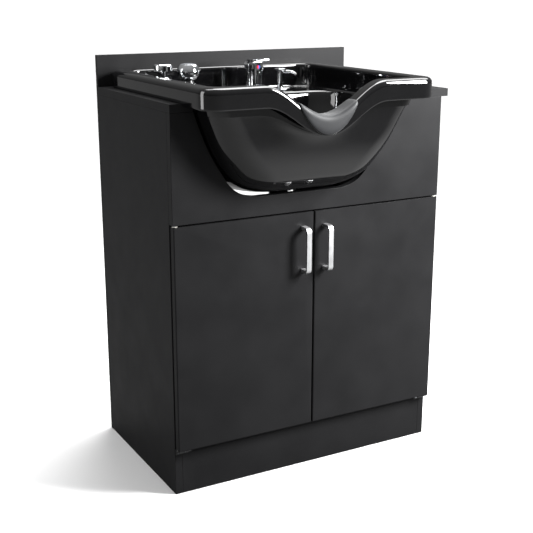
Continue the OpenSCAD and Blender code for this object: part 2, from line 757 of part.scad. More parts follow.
module pump_stem() {
    color(nylon) at_soap() difference() {
        union() {
            translate([0, 0, -150]) cylinder(d = 6, h = 100);
            translate([0, 0, -60]) cylinder(d = stem_d, h = pump_top + 60);
            translate([0, 0, spring_high]) cylinder(d = 15.5, h = 2);
        }
        translate([0, 0, -151]) cylinder(d = 3, h = 250);
    }
}
spout_az = -40;
spout_r = 3;
spout_run = 26;
spout_bend = 20;
spout_straight = spout_run - skirt_d / 2 + 1;
module pump_head() {
    color(chrome) at_soap() {
        difference() {
            union() {
                translate([0, 0, skirt_low]) cylinder(d = skirt_d, h = pump_top - skirt_low + 1);
                translate([0, 0, pump_top]) cylinder(d = 30, h = 3.5);
                translate([0, 0, pump_top + 3.5]) cylinder(d1 = 30, d2 = 24, h = 1.5);
            }
            translate([0, 0, skirt_low - 1])
                cylinder(d = neck_od + 2 * run_fit, h = pump_top - skirt_low + 1);
        }
        rotate([0, 0, spout_az]) translate([skirt_d / 2 - 1, 0, pump_top - spout_r - 0.5]) {
            rotate([0, 90, 0]) cylinder(r = spout_r + 0.5, h = spout_straight);
            translate([spout_straight - 2, 0, -spout_bend]) rotate([90, 0, 0]) rotate([0, 0, 38])
                rotate_extrude(angle = 52) translate([spout_bend, 0]) circle(r = spout_r);
        }
    }
}
// Coil of round wire between the shoulder on the stem and the seat in the collar
wire_r = 0.7;
coil_r = 6.6;
coil_turns = 6;
coil_n = 12;
coil_low = spring_low + wire_r + 0.2;
coil_high = spring_high - wire_r - 0.2;
function coil_ring(i) =
    let (a = 360 * i / coil_n, z = coil_low + (coil_high - coil_low) * i / (coil_turns * coil_n))
    [for (k = [0 : 7]) let (b = -45 * k)
        [(coil_r + wire_r * cos(b)) * cos(a), (coil_r + wire_r * cos(b)) * sin(a), z + wire_r * sin(b)]];
module pump_spring() {
    color(zinc) at_soap() lofted([for (i = [0 : coil_turns * coil_n]) coil_ring(i)]);
}

// ---- Doors, drawn at the left and mirrored to the right ----

door_pocket = 12;
handle_x = cabinet_w / 2 - handle_in;
handle_z = door_top - 85;
screw_head_d = 9;
module rounded_plan(w, d, r) {
    translate([r, 0]) square([w - 2 * r, d]);
    translate([0, r]) square([w, d - 2 * r]);
    for (x = [r, w - r], y = [r, d - r]) translate([x, y]) circle(r = r);
}
module door_leaf() {
    color(board_black) difference() {
        translate([door_gap / 2, door_front, door_bottom])
            linear_extrude(door_h) rounded_plan(door_w, board_t, edge_r);
        for (z = [door_bottom - 1, door_top - door_pocket])
            translate([pivot_in, pivot_y, z]) cylinder(d = bush_d + 0.1, h = door_pocket + 1);
        for (s = [-1, 1]) translate([handle_x, 0, handle_z + s * handle_span / 2]) rotate([90, 0, 0]) {
            cylinder(d = 4.6, h = 30);
            cylinder(d = screw_head_d + 0.6, h = door_back_gap + 3);
        }
    }
}
module handle() {
    tall = handle_span + handle_t;
    color(chrome) translate([handle_x - handle_w / 2, door_front, handle_z]) difference() {
        rotate([90, 0, 90]) linear_extrude(handle_w) difference() {
            union() {
                translate([-handle_reach, -tall / 2 + 12]) square([handle_reach, tall - 24]);
                translate([-handle_reach + 12, -tall / 2]) square([handle_reach - 12, tall]);
                for (s = [-1, 1]) translate([-handle_reach + 12, s * (tall / 2 - 12)]) circle(r = 12);
            }
            translate([-handle_reach + 5, -tall / 2 + handle_t + 4])
                square([handle_reach, tall - 2 * handle_t - 8]);
            translate([-handle_reach + 9, -tall / 2 + handle_t]) square([handle_reach, tall - 2 * handle_t]);
            for (s = [-1, 1])
                translate([-handle_reach + 9, s * (tall / 2 - handle_t - 4)]) circle(r = 4);
        }
        for (s = [-1, 1]) translate([handle_w / 2, 1, s * handle_span / 2]) rotate([90, 0, 0])
            cylinder(d = 4.2, h = 12);
    }
}
module handle_screws() {
    color(zinc) for (s = [-1, 1])
        translate([handle_x, door_front - 9, handle_z + s * handle_span / 2]) rotate([-90, 0, 0])
            screw(4, board_t + 9 - 3, screw_head_d, 2.5);
}
bush_d = pivot_pin_d + 3;
module bush() {
    difference() {
        union() {
            cylinder(d = bush_d, h = door_pocket - 1);
            translate([0, 0, -flange_t]) cylinder(d = bush_d + 4, h = flange_t);
        }
        translate([0, 0, -flange_t - 1]) cylinder(d = pivot_pin_d + 2 * run_fit, h = door_pocket + 2);
    }
}
module bushes() {
    color(nylon) {
        translate([pivot_in, pivot_y, door_bottom]) bush();
        translate([pivot_in, pivot_y, door_top]) rotate([180, 0, 0]) bush();
    }
}
strike_t = door_back_gap - 0.4;
module strike() {
    color(zinc) translate([cabinet_w / 2 - catch_x - 20, -door_back_gap, rail_z - catch_h / 2 - 6])
        cube([40, strike_t, 12]);
}
module bumpers() {
    color("#3a3a3a") for (x = [60, cabinet_w / 2 - 80])
        translate([x, -door_back_gap, rail_z + (door_top - rail_z) / 2]) rotate([-90, 0, 0])
            cylinder(d = 8, h = strike_t);
}
module left_door() { in_frame() door_leaf(); }
module left_handle() { in_frame() handle(); }
module left_handle_screws() { in_frame() handle_screws(); }
module left_bushes() { in_frame() bushes(); }
module left_strike() { in_frame() strike(); }
module left_bumpers() { in_frame() bumpers(); }
module right_door() { mirrored() door_leaf(); }
module right_handle() { mirrored() handle(); }
module right_handle_screws() { mirrored() handle_screws(); }
module right_bushes() { mirrored() bushes(); }
module right_strike() { mirrored() strike(); }
module right_bumpers() { mirrored() bumpers(); }

left_side_panel();
right_side_panel();
floor_panel();
toe_kick_board();
countertop();
back_panel();
front_fascia();
front_rail();
rear_rail();
corner_braces();
brace_screws();
catch_housings();
catch_magnets();
bottom_pivot_brackets();
bracket_screws();
top_pivot_pins();
bowl();
neck_rest();
bowl_screws();
drain_flange();
drain_gasket();
drain_locknut();
tailpiece();
slip_nut();
strainer_basket();
mixer_body();
mixer_gasket();
mixer_locknut();
mixer_tails();
mixer_turret();
mixer_marker();
mixer_lever();
mixer_lever_pin();
breaker_body();
breaker_cap();
breaker_nut();
hose_guide();
hose_guide_nut();
spray_handle();
spray_bell();
spray_face();
spray_hose_nut();
soap_collar();
soap_nut();
soap_bottle();
pump_stem();
pump_head();
pump_spring();
left_door();
left_handle();
left_handle_screws();
left_bushes();
left_strike();
left_bumpers();
right_door();
right_handle();
right_handle_screws();
right_bushes();
right_strike();
right_bumpers();
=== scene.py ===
import json
import math

import bmesh
import bpy
import numpy as np
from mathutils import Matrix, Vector

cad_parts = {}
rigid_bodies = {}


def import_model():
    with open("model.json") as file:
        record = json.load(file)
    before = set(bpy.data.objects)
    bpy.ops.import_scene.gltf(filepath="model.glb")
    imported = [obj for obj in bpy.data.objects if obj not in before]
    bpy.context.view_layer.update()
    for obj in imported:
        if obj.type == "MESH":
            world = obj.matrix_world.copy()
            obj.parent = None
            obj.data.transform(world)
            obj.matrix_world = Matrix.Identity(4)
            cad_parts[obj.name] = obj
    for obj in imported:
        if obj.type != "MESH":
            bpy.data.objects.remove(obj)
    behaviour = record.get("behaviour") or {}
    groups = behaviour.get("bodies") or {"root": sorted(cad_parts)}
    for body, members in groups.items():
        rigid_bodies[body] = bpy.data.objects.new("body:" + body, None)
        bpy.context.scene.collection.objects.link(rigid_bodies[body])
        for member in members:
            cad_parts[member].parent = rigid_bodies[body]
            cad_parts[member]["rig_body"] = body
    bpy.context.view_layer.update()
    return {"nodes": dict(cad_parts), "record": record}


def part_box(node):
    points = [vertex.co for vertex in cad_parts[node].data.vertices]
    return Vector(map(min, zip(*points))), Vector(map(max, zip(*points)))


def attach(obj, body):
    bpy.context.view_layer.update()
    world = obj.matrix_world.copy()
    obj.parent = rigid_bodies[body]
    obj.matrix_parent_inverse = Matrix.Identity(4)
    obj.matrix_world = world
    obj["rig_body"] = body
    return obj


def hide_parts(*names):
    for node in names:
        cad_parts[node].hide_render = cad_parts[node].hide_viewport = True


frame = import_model()
cadNodes = frame["nodes"]
slotOf = {part["node"]: part["material_slot"] for part in frame["record"]["subparts"]}
mm = 0.001
print("frame loaded:", len(cadNodes), "nodes")


def addNode(tree, kind, inputs=None, **settings):
    node = tree.nodes.new(kind)
    for key, value in settings.items():
        setattr(node, key, value)
    for socket, value in (inputs or {}).items():
        if isinstance(value, bpy.types.NodeSocket):
            tree.links.new(value, node.inputs[socket])
        else:
            node.inputs[socket].default_value = value
    return node


def linear(code):
    # sRGB hex to linear: the power curve above 0.04045, a straight line below it
    value = np.array([int(code[i:i + 2], 16) for i in (1, 3, 5)]) / 255
    value = np.where(value <= 0.04045, value / 12.92, ((value + 0.055) / 1.055) ** 2.4)
    return (*value.tolist(), 1.0)


def softSteps(rows, steps):
    # Cubic through the rows; slopes are harmonic means of the chords, so nothing overshoots
    rows = np.asarray(rows, float)
    gap = np.maximum(np.linalg.norm(np.diff(rows[:, :4], axis=0), axis=1) ** 0.6, 1e-6)
    chord = np.diff(rows, axis=0) / gap[:, None]
    before, after = chord[:-1], chord[1:]
    same = before * after > 0
    mean = np.where(same, 2 * before * after / np.where(same, before + after, 1), 0)
    slope = np.vstack([chord[:1], mean, chord[-1:]])
    counts = np.asarray(steps if np.ndim(steps) else [steps] * len(gap))
    seg = np.repeat(np.arange(len(gap)), counts)
    t = np.concatenate([np.arange(c) / c for c in counts])[:, None]
    h = gap[seg][:, None]
    a, b = rows[seg], rows[seg + 1]
    curve = ((1 + 2 * t) * (1 - t) ** 2 * a + t * (1 - t) ** 2 * h * slope[seg]
             + t * t * (3 - 2 * t) * b + t * t * (t - 1) * h * slope[seg + 1])
    return np.vstack([curve, rows[-1:]])


def gridFaces(rows, columns, wrapRows=False, wrapColumns=False):
    # Quads between neighbours of a grid, row by row
    r = np.arange(rows if wrapRows else rows - 1)[:, None]
    c = np.arange(columns if wrapColumns else columns - 1)[None, :]
    down, right = (r + 1) % rows, (c + 1) % columns
    quad = [r * columns + c, r * columns + right, down * columns + right, down * columns + c]
    return np.stack(np.broadcast_arrays(*quad), -1).reshape(-1, 4)


def meshPiece(name, points, faces, sharpAngle=None):
    mesh = bpy.data.meshes.new(name)
    faces = [face.tolist() if isinstance(face, np.ndarray) else face for face in faces]
    mesh.from_pydata(np.asarray(points).reshape(-1, 3).tolist(), [], faces)
    mesh.validate()
    piece = bpy.data.objects.new(name, mesh)
    bpy.context.scene.collection.objects.link(piece)
    tidyShading(piece, sharpAngle)
    return piece


def tidyShading(piece, sharpAngle=None):
    work = bmesh.new()
    work.from_mesh(piece.data)
    bmesh.ops.remove_doubles(work, verts=work.verts, dist=2e-6)
    bmesh.ops.recalc_face_normals(work, faces=work.faces)
    work.to_mesh(piece.data)
    work.free()
    piece.data.shade_smooth()
    if sharpAngle:
        piece.data.set_sharp_from_angle(angle=math.radians(sharpAngle))


def standFor(piece, *nodes):
    # The piece rides on the body of the node that it stands for, and takes its finish
    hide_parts(*nodes)
    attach(piece, cadNodes[nodes[0]]["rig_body"])
    piece.data.materials.clear()
    piece.data.materials.append(finishes[slotOf[nodes[0]]])
    return piece


def softened(name, node, width, sharpest=35, segments=3):
    # A merged copy of the node's solid with its hard edges rolled over
    mesh = cadNodes[node].data.copy()
    piece = bpy.data.objects.new(name, mesh)
    bpy.context.scene.collection.objects.link(piece)
    work = bmesh.new()
    work.from_mesh(mesh)
    bmesh.ops.remove_doubles(work, verts=work.verts, dist=2e-6)
    bmesh.ops.dissolve_limit(work, angle_limit=math.radians(0.5), verts=work.verts, edges=work.edges)
    work.to_mesh(mesh)
    work.free()
    mesh.shade_smooth()
    mesh.set_sharp_from_angle(angle=math.radians(sharpest))
    bevel = piece.modifiers.new("rolledEdges", "BEVEL")
    bevel.width = width * mm
    bevel.segments = segments
    bevel.limit_method = "ANGLE"
    bevel.angle_limit = math.radians(sharpest)
    bevel.harden_normals = True
    bevel.miter_outer = "MITER_ARC"
    return standFor(piece, node)


photoView = {"place": (-1.181, -2.0625, 1.1213), "yaw": 28.80, "pitch": 15.52, "lens": 67.99}
camera = bpy.data.objects.new("camera", bpy.data.cameras.new("camera"))
bpy.context.scene.collection.objects.link(camera)
camera.location = photoView["place"]
camera.rotation_euler = (math.radians(90 - photoView["pitch"]), 0, -math.radians(photoView["yaw"]))
camera.data.lens = photoView["lens"]
camera.data.sensor_width = 36
camera.data.clip_end = 400
bpy.context.scene.camera = camera
bpy.context.scene.view_settings.view_transform = "Standard"

studio = {
    # The floor is pale to the eye and darker to reflections and bounced light
    "floorHalf": 90, "floorColour": "#f4f4f4", "floorInGloss": "#787878",
    "skyTop": 0.42, "skyLow": 0.10,
    "sun": {"strength": 3.4, "angle": 50, "from": (0.6, 0.3, 1.0)},
    # name: place, aim, size, watts, colour
    "softboxes": {
        "rightKey": ((1.15, -1.15, 1.45), (0.25, -0.15, 0.8), (0.5, 0.9), 120, "#ffffff"),
        "leftFill": ((-2.8, 0.6, 1.3), (-0.2, 0.0, 0.6), (1.0, 2.2), 34, "#ffffff"),
        "topStrip": ((0.1, 0.3, 2.9), (0.0, -0.1, 0.9), (2.2, 0.7), 40, "#ffffff"),
    },
}
half = studio["floorHalf"]
floorCorners = [(-half, -half, 0), (half, -half, 0), (half, half, 0), (-half, half, 0)]
floor = meshPiece("floor", floorCorners, [(0, 1, 2, 3)])
floorPaint = bpy.data.materials.new("matteFloor")
floorPaint.use_nodes = True
floorShader = floorPaint.node_tree.nodes["Principled BSDF"]
direct = addNode(floorPaint.node_tree, "ShaderNodeLightPath").outputs["Is Camera Ray"]
floorTone = addNode(floorPaint.node_tree, "ShaderNodeMix", {0: direct}, data_type="RGBA")
floorTone.inputs[6].default_value = linear(studio["floorInGloss"])
floorTone.inputs[7].default_value = linear(studio["floorColour"])
floorPaint.node_tree.links.new(floorTone.outputs[2], floorShader.inputs["Base Color"])
floorShader.inputs["Roughness"].default_value = 0.9
floorShader.inputs["Specular IOR Level"].default_value = 0.1
floor.data.materials.append(floorPaint)

world = bpy.data.worlds.new("studioSky")
bpy.context.scene.world = world
world.use_nodes = True
sky = world.node_tree
sky.nodes.clear()
direction = addNode(sky, "ShaderNodeTexCoord").outputs["Generated"]
height = addNode(sky, "ShaderNodeSeparateXYZ", {0: direction}).outputs["Z"]
lift = addNode(sky, "ShaderNodeMapRange", {"Value": height, "To Min": studio["skyLow"],
                                           "To Max": studio["skyTop"]}).outputs[0]
softSky = addNode(sky, "ShaderNodeBackground", {"Color": (1, 1, 1, 1), "Strength": lift})
paleSky = addNode(sky, "ShaderNodeBackground", {"Color": (1, 1, 1, 1), "Strength": 1.0})
seen = addNode(sky, "ShaderNodeLightPath").outputs["Is Camera Ray"]
skyMix = addNode(sky, "ShaderNodeMixShader", {0: seen, 1: softSky.outputs[0], 2: paleSky.outputs[0]})
addNode(sky, "ShaderNodeOutputWorld", {"Surface": skyMix.outputs[0]})

sunLight = bpy.data.lights.new("sun", "SUN")
sunLight.energy = studio["sun"]["strength"]
sunLight.angle = math.radians(studio["sun"]["angle"])
sun = bpy.data.objects.new("sun", sunLight)
bpy.context.scene.collection.objects.link(sun)
sun.rotation_euler = Vector(studio["sun"]["from"]).to_track_quat("Z", "Y").to_euler()
for name, (place, aim, size, watts, colour) in studio["softboxes"].items():
    light = bpy.data.lights.new(name, "AREA")
    light.shape = "RECTANGLE"
    light.size, light.size_y = size
    light.energy = watts
    light.color = linear(colour)[:3]
    box = bpy.data.objects.new(name, light)
    bpy.context.scene.collection.objects.link(box)
    box.location = place
    box.rotation_euler = (Vector(place) - Vector(aim)).to_track_quat("Z", "Y").to_euler()
print("studio ready")


# Each finish: colours, metal share, IOR, specular level, roughness low and high, size and height in mm
# of the fine surface pattern (drawn as coarse as it needs to show), size in mm of the slow variation,
# how much the pattern is drawn out along each axis, coat and sheen
finishTable = {
    # satin melamine laminate pressed on board: a fine pebble that spreads reflections
    "black_laminate": {"name": "pressedMelamineLaminate", "colours": ("#1b1b1c", "#212122"), "ior": 1.5,
                       "specular": 0.12, "rough": (0.40, 0.50), "grain": 1.6, "bump": 0.010, "slow": 90},
    # vacuum-formed gloss ABS: mirror-like with a slow orange peel
    "bowl_abs": {"name": "glossMouldedAbs", "colours": ("#070708", "#0b0b0c"), "ior": 1.53,
                 "rough": (0.06, 0.10), "grain": 9, "bump": 0.006, "slow": 120, "coat": 0.3},
    # soft moulded rubber with a fine stipple
    "neck_rest_rubber": {"name": "mouldedSoftRubber", "colours": ("#222325", "#2a2b2d"), "ior": 1.52,
                         "specular": 0.3, "rough": (0.46, 0.58), "grain": 1.4, "bump": 0.02,
                         "slow": 40, "sheen": 0.15},
    # bright chrome plate on brass
    "chrome": {"name": "chromePlatedBrass", "colours": ("#d9dbde", "#e2e4e6"), "metal": 1,
               "rough": (0.05, 0.09), "grain": 6, "bump": 0.002, "slow": 25},
    # satin nickel plate, brushed along the strap
    "satin_handle": {"name": "brushedNickelPlate", "colours": ("#dcddde", "#e8e8e9"), "metal": 1,
                     "rough": (0.40, 0.50), "grain": 1.2, "bump": 0.006, "slow": 30,
                     "stretch": (1, 1, 0.04)},
    # thin bright zinc on steel: a cloudy, uneven gleam
    "zinc_steel": {"name": "zincPlatedSteel", "colours": ("#9b9ea3", "#b2b4b8"), "metal": 1,
                   "rough": (0.28, 0.42), "grain": 2.5, "bump": 0.004, "slow": 12},
    # powder coat baked on steel: a dull fine pebble
    "black_steel": {"name": "powderCoatedSteel", "colours": ("#1a1a1b", "#212122"), "ior": 1.5,
                    "rough": (0.45, 0.55), "grain": 0.8, "bump": 0.02, "slow": 20},
    # natural nylon, injection moulded: warm off-white with a soft shine
    "white_nylon": {"name": "mouldedNylon", "colours": ("#dcd9d0", "#e6e3db"), "ior": 1.53,
                    "rough": (0.38, 0.48), "grain": 1.5, "bump": 0.006, "slow": 15},
    # moulded nitrile rubber: nearly no shine
    "black_rubber": {"name": "mouldedNitrileRubber", "colours": ("#131314", "#1a1a1b"), "ior": 1.52,
                     "rough": (0.62, 0.75), "grain": 1.0, "bump": 0.02, "slow": 15},
    # blow-moulded polyethylene: milky with slow waves
    "bottle_plastic": {"name": "blowMouldedPolyethylene", "colours": ("#cfcfc9", "#dbdbd6"), "ior": 1.52,
                       "rough": (0.35, 0.48), "grain": 3.0, "bump": 0.02, "slow": 40},
    # acetal, injection moulded: a clear but soft shine
    "black_plastic": {"name": "mouldedBlackAcetal", "colours": ("#101011", "#171718"), "ior": 1.48,
                      "rough": (0.26, 0.36), "grain": 1.2, "bump": 0.008, "slow": 20},
    # soft moulded silicone: matt grey
    "grey_plastic": {"name": "mouldedGreySiliconeFace", "colours": ("#55575b", "#626468"), "ior": 1.45,
                     "rough": (0.42, 0.55), "grain": 1.0, "bump": 0.01, "slow": 12},
}


def makeFinish(look):
    # Two noises: a fine one for grain and bump, a slow one for tone and roughness
    material = bpy.data.materials.new(look["name"])
    material.use_nodes = True
    tree = material.node_tree
    shader = tree.nodes["Principled BSDF"]
    place = addNode(tree, "ShaderNodeTexCoord").outputs["Object"]
    stretch = look.get("stretch", (1, 1, 1))
    fineScale, slowScale = 1 / (look["grain"] * mm), 1 / (look["slow"] * mm)
    drawn = addNode(tree, "ShaderNodeMapping", {"Vector": place, "Scale": stretch})
    fine = addNode(tree, "ShaderNodeTexNoise", {"Vector": drawn.outputs[0], "Scale": fineScale,
                                                "Detail": 3.0, "Roughness": 0.55})
    slow = addNode(tree, "ShaderNodeTexNoise", {"Vector": place, "Scale": slowScale,
                                                "Detail": 2.0, "Roughness": 0.5})
    blend = addNode(tree, "ShaderNodeMath", {0: fine.outputs[0], 1: slow.outputs[0]},
                    operation="MULTIPLY")
    share = addNode(tree, "ShaderNodeMapRange", {"Value": blend.outputs[0], "From Min": 0.12,
                                                 "From Max": 0.4})
    dark, light = (linear(code) for code in look["colours"])
    tone = addNode(tree, "ShaderNodeMix", {"Factor": share.outputs[0]}, data_type="RGBA")
    tone.inputs[6].default_value = dark
    tone.inputs[7].default_value = light
    tree.links.new(tone.outputs[2], shader.inputs["Base Color"])
    low, high = look["rough"]
    rough = addNode(tree, "ShaderNodeMapRange", {"Value": slow.outputs[0], "From Min": 0.3,
                                                 "From Max": 0.7, "To Min": low, "To Max": high})
    tree.links.new(rough.outputs[0], shader.inputs["Roughness"])
    bump = addNode(tree, "ShaderNodeBump", {"Strength": 1.0, "Distance": look["bump"] * mm,
                                            "Height": fine.outputs[0]})
    tree.links.new(bump.outputs[0], shader.inputs["Normal"])
    shader.inputs["Metallic"].default_value = look.get("metal", 0)
    if "ior" in look:
        shader.inputs["IOR"].default_value = look["ior"]
    if "specular" in look:
        shader.inputs["Specular IOR Level"].default_value = look["specular"]
    if "coat" in look:
        shader.inputs["Coat Weight"].default_value = look["coat"]
        shader.inputs["Coat Roughness"].default_value = 0.03
    if "sheen" in look:
        shader.inputs["Sheen Weight"].default_value = look["sheen"]
        shader.inputs["Sheen Roughness"].default_value = 0.4
    return material


finishes = {slot: makeFinish(look) for slot, look in finishTable.items()}

# Fired enamel dot, hot on the left and cold on the right, split where X passes its middle
enamel = bpy.data.materials.new("hotColdEnamel")
enamel.use_nodes = True
markerLow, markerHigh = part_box("mixer_marker")
markerMiddle = (markerLow.x + markerHigh.x) / 2
splitHalf = 0.2 * mm
tree = enamel.node_tree
place = addNode(tree, "ShaderNodeTexCoord").outputs["Object"]
across = addNode(tree, "ShaderNodeSeparateXYZ", {0: place}).outputs[0]
side = addNode(tree, "ShaderNodeMapRange", {"Value": across, "From Min": markerMiddle - splitHalf,
                                            "From Max": markerMiddle + splitHalf})
split = addNode(tree, "ShaderNodeMix", {"Factor": side.outputs[0]}, data_type="RGBA")
split.inputs[6].default_value = linear("#c01c2a")
split.inputs[7].default_value = linear("#2a4fa8")
tree.links.new(split.outputs[2], tree.nodes["Principled BSDF"].inputs["Base Color"])
tree.nodes["Principled BSDF"].inputs["Roughness"].default_value = 0.22
finishes["marker_enamel"] = enamel

for node, piece in cadNodes.items():
    for slot in piece.material_slots:
        slot.material = finishes[slotOf[node]]
print("finishes made:", len(finishes))


bowlLow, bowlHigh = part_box("bowl")
bowlPlace = np.array([(bowlLow.x + bowlHigh.x) / 2, bowlLow.y, bowlLow.z])
bowlShape = {
    "halfWidth": 285, "length": 545, "counter": 209, "dipDepth": 72, "dipHalf": 150,
    "apronDrop": 5, "apronEnd": 120.5, "apronTop": 230, "apronBlend": 20, "apronEase": 5,
    "drainRadius": 23.2, "drainFront": 217.5, "stepLength": 5, "fewestSteps": 3, "mostSteps": 9,
    "frontPoints": 120, "sidePoints": 30, "backPoints": 40, "cornerPoints": 18,
    # Up the outside from the drain, over the rim and down the inside to the drain again. Each row:
    # height, inset at the sides, front and back, corner radius, share of neck dip, share of roundness
    "rows": [
        (0, 215, 180, 290, 36, 0, 1), (0, 215, 180, 290, 36, 0, 0.2), (0, 215, 180, 290, 36, 0, 0),
        (1, 175, 145, 245, 62, 0, 0), (5, 154, 120, 222, 80, 0, 0), (14, 133, 97, 206, 88, 0, 0),
        (31, 113, 72, 192, 90, 0, 0), (54, 97, 55, 181, 88, 0, 0), (106.6, 66, 43, 167, 76, 0, 0),
        (158.8, 44, 37, 157, 66, .35, 0), (181, 36, 34, 152, 60, .6, 0),
        (186, 34.3, 33.2, 147, 58, .61, 0),
        (186, 34, 33, 32, 45, .62, 0), (188, 33.6, 33, 28.5, 44, .64, 0), (205, 31, 32, 27, 42, .8, 0),
        (239, 31.2, 32.2, 27.8, 42, .98, 0), (243, 28, 29, 25, 41, 1, 0),
        (243, 8, 8, 8, 35, 1, 0), (240, 5, 5, 5, 35, 1, 0),
        (211, 4, 4, 4, 36, .925, 0), (209, 3, 3, 3, 37, .92, 0), (209, 1.2, 1.2, 1.2, 39, .92, 0),
        (212, 0, 0, 0, 40, .925, 0), (236, 0, 0, 0, 40, 1, 0), (245.4, 3.2, 3.2, 3.2, 37.6, 1, 0),
        (249, 11, 11, 11, 34, 1, 0), (249, 29.5, 32, 30.5, 34, 1, 0),
        (247.4, 35.4, 35.4, 34.4, 34, 1, 0),
        (243, 37, 37, 36, 34, 1, 0), (209, 38, 38, 36, 36, .61, 0), (196, 39, 39, 36.9, 38, .49, 0),
        (192.2, 40.6, 39.6, 38.2, 39, .475, 0), (191, 44.5, 40.6, 42, 42, .47, 0),
        (190.8, 45.5, 40.9, 145, 57, .465, 0), (189.4, 46, 41.1, 151.5, 59.5, .455, 0),
        (186, 46.3, 41.5, 155.6, 60.5, .44, 0), (158.8, 51, 43, 163, 64, .18, 0),
        (108.7, 72, 49, 173, 72, 0, 0),
        (58, 102, 61, 187, 84, 0, 0), (37, 118, 78, 198, 86, 0, 0), (20, 140, 104, 213, 82, 0, 0),
        (11, 164, 130, 230, 72, 0, 0), (8, 185, 152, 252, 56, 0, 0), (7, 215, 180, 290, 36, 0, 0),
        (7, 215, 180, 290, 36, 0, 0.3), (7, 215, 180, 290, 36, 0, 1)],
}


def neckDip(x):
    # Raised cosine: full depth at the middle, nothing past its half width
    shape = 0.5 * (1 + np.cos(np.pi * x / bowlShape["dipHalf"]))
    return bowlShape["dipDepth"] * np.where(np.abs(x) < bowlShape["dipHalf"], shape, 0)


def bowlRings(rows):
    # Each row is a rounded rectangle: straight runs move the corner centres, arcs add the radius
    shape = bowlShape
    line = lambda count: np.linspace(-1, 1, count, endpoint=False) + 1 / count
    arc = (np.arange(shape["cornerPoints"]) + 0.5) / shape["cornerPoints"] * 90
    ux, uy, angle = [], [], []
    for count, turn, sx, sy in ((shape["frontPoints"], -90, 0, -1), (shape["sidePoints"], 0, 1, 0),
                                (shape["backPoints"], 90, 0, 1), (shape["sidePoints"], 180, -1, 0)):
        run = line(count)
        forward = run if turn in (-90, 0) else -run
        ux.append(forward if sx == 0 else np.full(count, sx))
        uy.append(forward if sy == 0 else np.full(count, sy))
        angle.append(np.full(count, turn))
        cornerX, cornerY = {-90: (1, -1), 0: (1, 1), 90: (-1, 1), 180: (-1, -1)}[turn]
        ux.append(np.full(len(arc), cornerX))
        uy.append(np.full(len(arc), cornerY))
        angle.append(turn + arc)
    ux, uy, angle = (np.concatenate(a) for a in (ux, uy, angle))
    z, sideIn, frontIn, backIn, radius, dipShare, roundShare = np.asarray(rows).T[:, :, None]
    halfX = shape["halfWidth"] - sideIn
    halfY = (shape["length"] - frontIn - backIn) / 2
    x = ux * (halfX - radius) + radius * np.cos(np.radians(angle))
    y = frontIn + halfY + uy * (halfY - radius) + radius * np.sin(np.radians(angle))
    fromDrain = np.stack([x, y - shape["drainFront"]], -1)
    onCircle = fromDrain / np.linalg.norm(fromDrain, axis=-1, keepdims=True) * shape["drainRadius"]
    x = x + roundShare * (onCircle[..., 0] - x)
    y = y + roundShare * (onCircle[..., 1] + shape["drainFront"] - y)
    onFront = (uy == -1) & (angle == -90)
    z = z - dipShare * np.where(onFront, neckDip(x), 0)
    return np.stack([x, y, z], -1)


bowlRows = np.asarray(bowlShape["rows"])
spans = np.abs(np.diff(bowlRows[:, :4], axis=0)).max(1)
rowSteps = (spans / bowlShape["stepLength"]).astype(int)
smoothRows = softSteps(bowlRows, np.clip(rowSteps, bowlShape["fewestSteps"], bowlShape["mostSteps"]))
bowlPoints = bowlRings(smoothRows)
# The skirt hangs lower in front of the counter: rows near its lower edge drop where y is small
rowHeight, rowInset = smoothRows[:, 0], smoothRows[:, 1]
onApron = (rowInset < 6) * (rowHeight < bowlShape["apronTop"])
edgeShare = np.clip(1 - (rowHeight - bowlShape["counter"]) / bowlShape["apronBlend"], 0, 1) * onApron
inFront = np.clip((bowlShape["apronEnd"] - bowlPoints[..., 1]) / bowlShape["apronEase"], 0, 1)
bowlPoints[..., 2] -= bowlShape["apronDrop"] * edgeShare[:, None] * inFront
bowl = meshPiece("glossBowl", bowlPoints * mm + bowlPlace,
                 gridFaces(*bowlPoints.shape[:2], wrapRows=True, wrapColumns=True))

# Holes through the deck for the four fittings: capped tubes of a circle, each with its radius
deckHoles = {"breaker_body": 11, "hose_guide": 17, "mixer_body": 17, "soap_collar": 12}
drillShape = {"sides": 48, "bottom": 170, "top": 200}
sides = drillShape["sides"]
turn = 2 * np.pi * np.arange(sides) / sides
drills = []
for node, radius in deckHoles.items():
    low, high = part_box(node)
    middle = (low + high) / 2
    rim = np.stack([np.cos(turn) * radius * mm + middle.x, np.sin(turn) * radius * mm + middle.y], -1)
    tube = np.stack([np.column_stack([rim, np.full(sides, bowlPlace[2] + drillShape[end] * mm)])
                     for end in ("bottom", "top")])
    first = 2 * sides * len(drills)
    caps = [np.arange(sides) + first, np.arange(2 * sides - 1, sides - 1, -1) + first]
    drills.append((tube.reshape(-1, 3), [*(gridFaces(2, sides, wrapColumns=True) + first), *caps]))
drill = meshPiece("deckDrill", np.vstack([d[0] for d in drills]), [f for d in drills for f in d[1]])
cut = bowl.modifiers.new("deckHoles", "BOOLEAN")
cut.object = drill
cut.solver = "EXACT"
drilled = bpy.data.meshes.new_from_object(bowl.evaluated_get(bpy.context.evaluated_depsgraph_get()))
bowl.modifiers.clear()
bowl.data = drilled
bpy.data.objects.remove(drill)
tidyShading(bowl, 40)
standFor(bowl, "bowl")
print("bowl made:", len(bowl.data.polygons), "faces")


restShape = {"half": 70, "thick": 6, "seat": 0.3, "lip": 36, "drop": 37, "endDrop": 7, "rimTop": 249,
             "acrossPoints": 56, "alongPoints": 96, "smoothings": 4}


